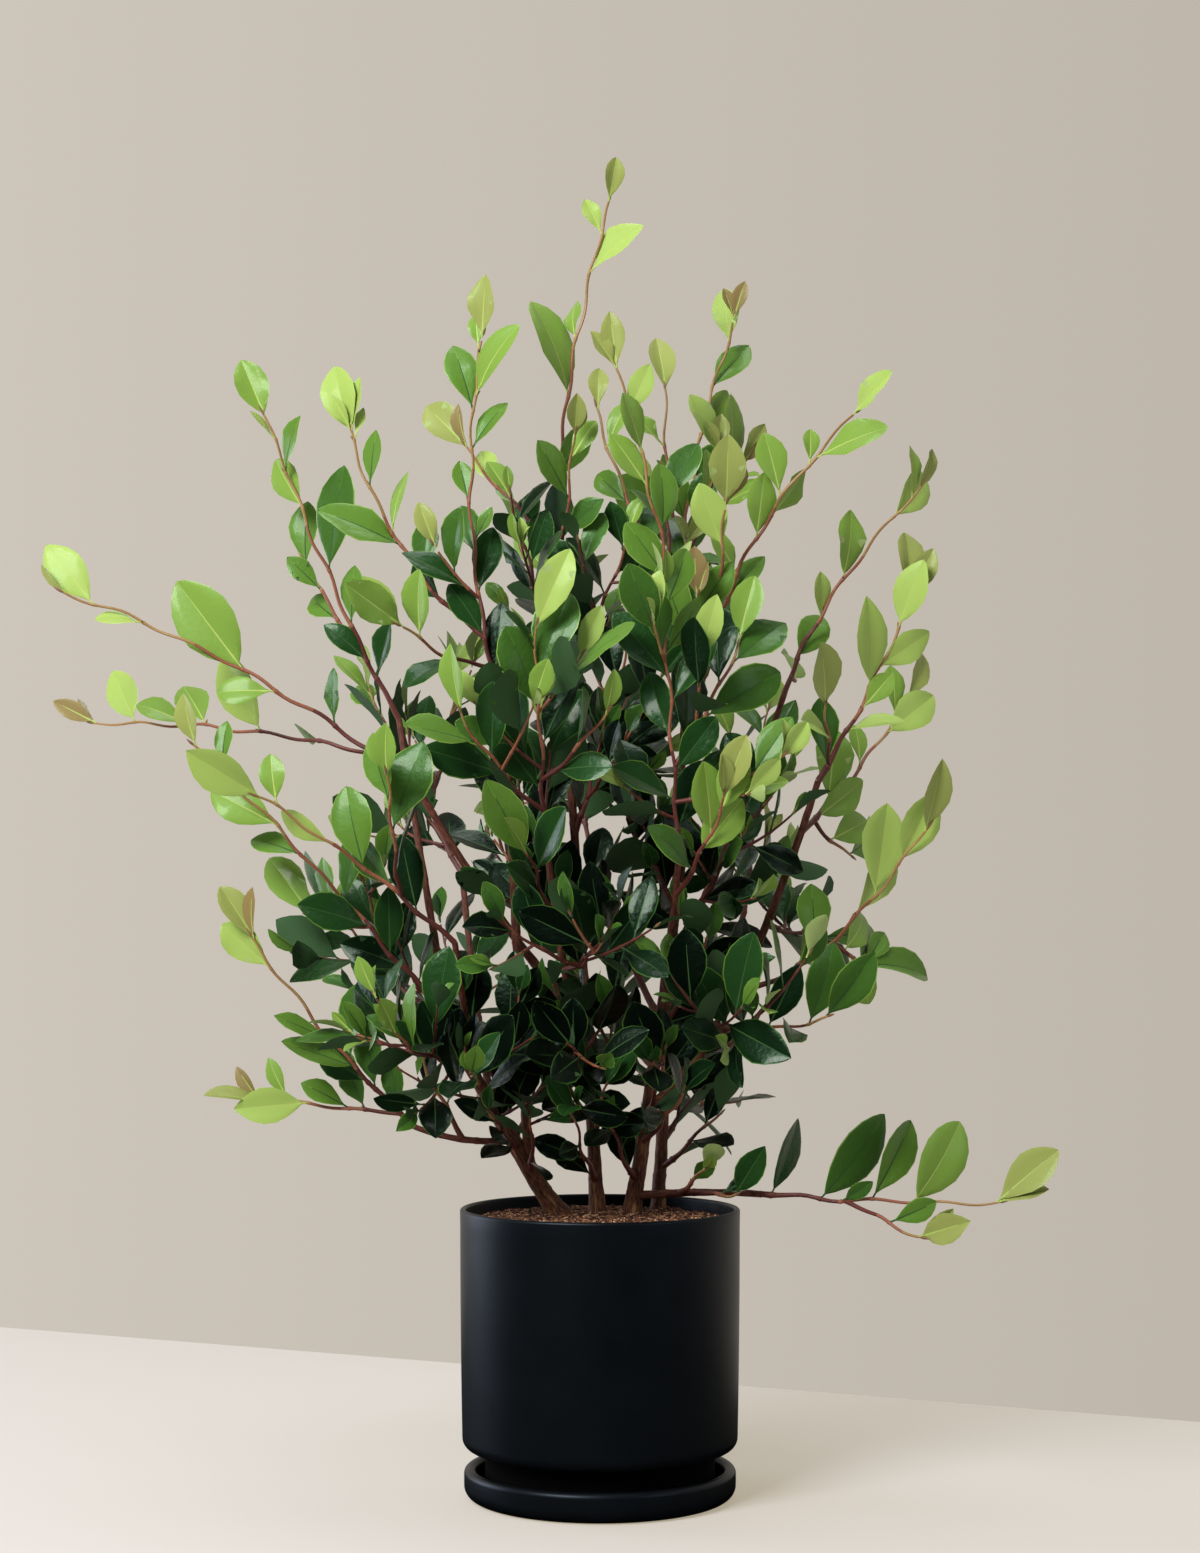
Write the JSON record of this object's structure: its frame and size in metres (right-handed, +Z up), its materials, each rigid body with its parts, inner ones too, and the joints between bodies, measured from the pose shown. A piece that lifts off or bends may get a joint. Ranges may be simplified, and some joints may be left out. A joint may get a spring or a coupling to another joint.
{
  "type": "camellia shrub",
  "caption": "Evergreen camellia shrub with several bare-footed stems and open upright sprays, in a matte black cylindrical pot on a round saucer.",
  "frame": {"origin": "centre of the saucer's flat underside", "axes": "+Z up the plant, -Y towards the front"},
  "size_m": [0.7786, 0.4893, 1.0351],
  "materials": {
    "black_glaze": "satin",
    "potting_soil": "matte",
    "bark": "matte",
    "young_leaves": "satin",
    "old_leaves": "satin"
  },
  "bodies": {
    "root": {"pot": "black_glaze", "saucer": "black_glaze", "soil": "potting_soil", "left_stem": "bark", "mid_stem": "bark", "right_stem": "bark", "back_stem": "bark", "low_left_bough": "bark", "low_right_bough": "bark", "upright_bough": "bark", "far_left_bough": "bark", "upper_left_bough": "bark", "front_left_bough": "bark", "side_bough": "bark", "front_bough": "bark", "front_right_bough": "bark", "right_back_bough": "bark", "back_left_bough": "bark", "back_bough": "bark", "back_right_bough": "bark", "far_left_foliage": "young_leaves", "left_foliage": "young_leaves", "front_left_foliage": "young_leaves", "low_left_foliage": "young_leaves", "upper_left_foliage": "young_leaves", "high_left_foliage": "young_leaves", "leader_foliage": "young_leaves", "top_foliage": "young_leaves", "back_top_foliage": "young_leaves", "high_right_foliage": "young_leaves", "right_back_foliage": "young_leaves", "right_side_foliage": "young_leaves", "right_mid_foliage": "young_leaves", "right_front_foliage": "young_leaves", "low_right_foliage": "young_leaves", "front_foliage": "old_leaves", "front_right_foliage": "old_leaves", "inner_left_foliage": "old_leaves", "inner_low_left_foliage": "old_leaves", "inner_mid_foliage": "old_leaves", "inner_high_foliage": "old_leaves", "inner_front_foliage": "old_leaves", "inner_right_foliage": "old_leaves", "inner_low_right_foliage": "old_leaves", "inner_side_foliage": "old_leaves", "back_left_foliage": "old_leaves", "back_foliage": "old_leaves", "back_right_foliage": "old_leaves", "low_back_foliage": "old_leaves", "low_back_left_foliage": "old_leaves"}
  },
  "joints": []
}
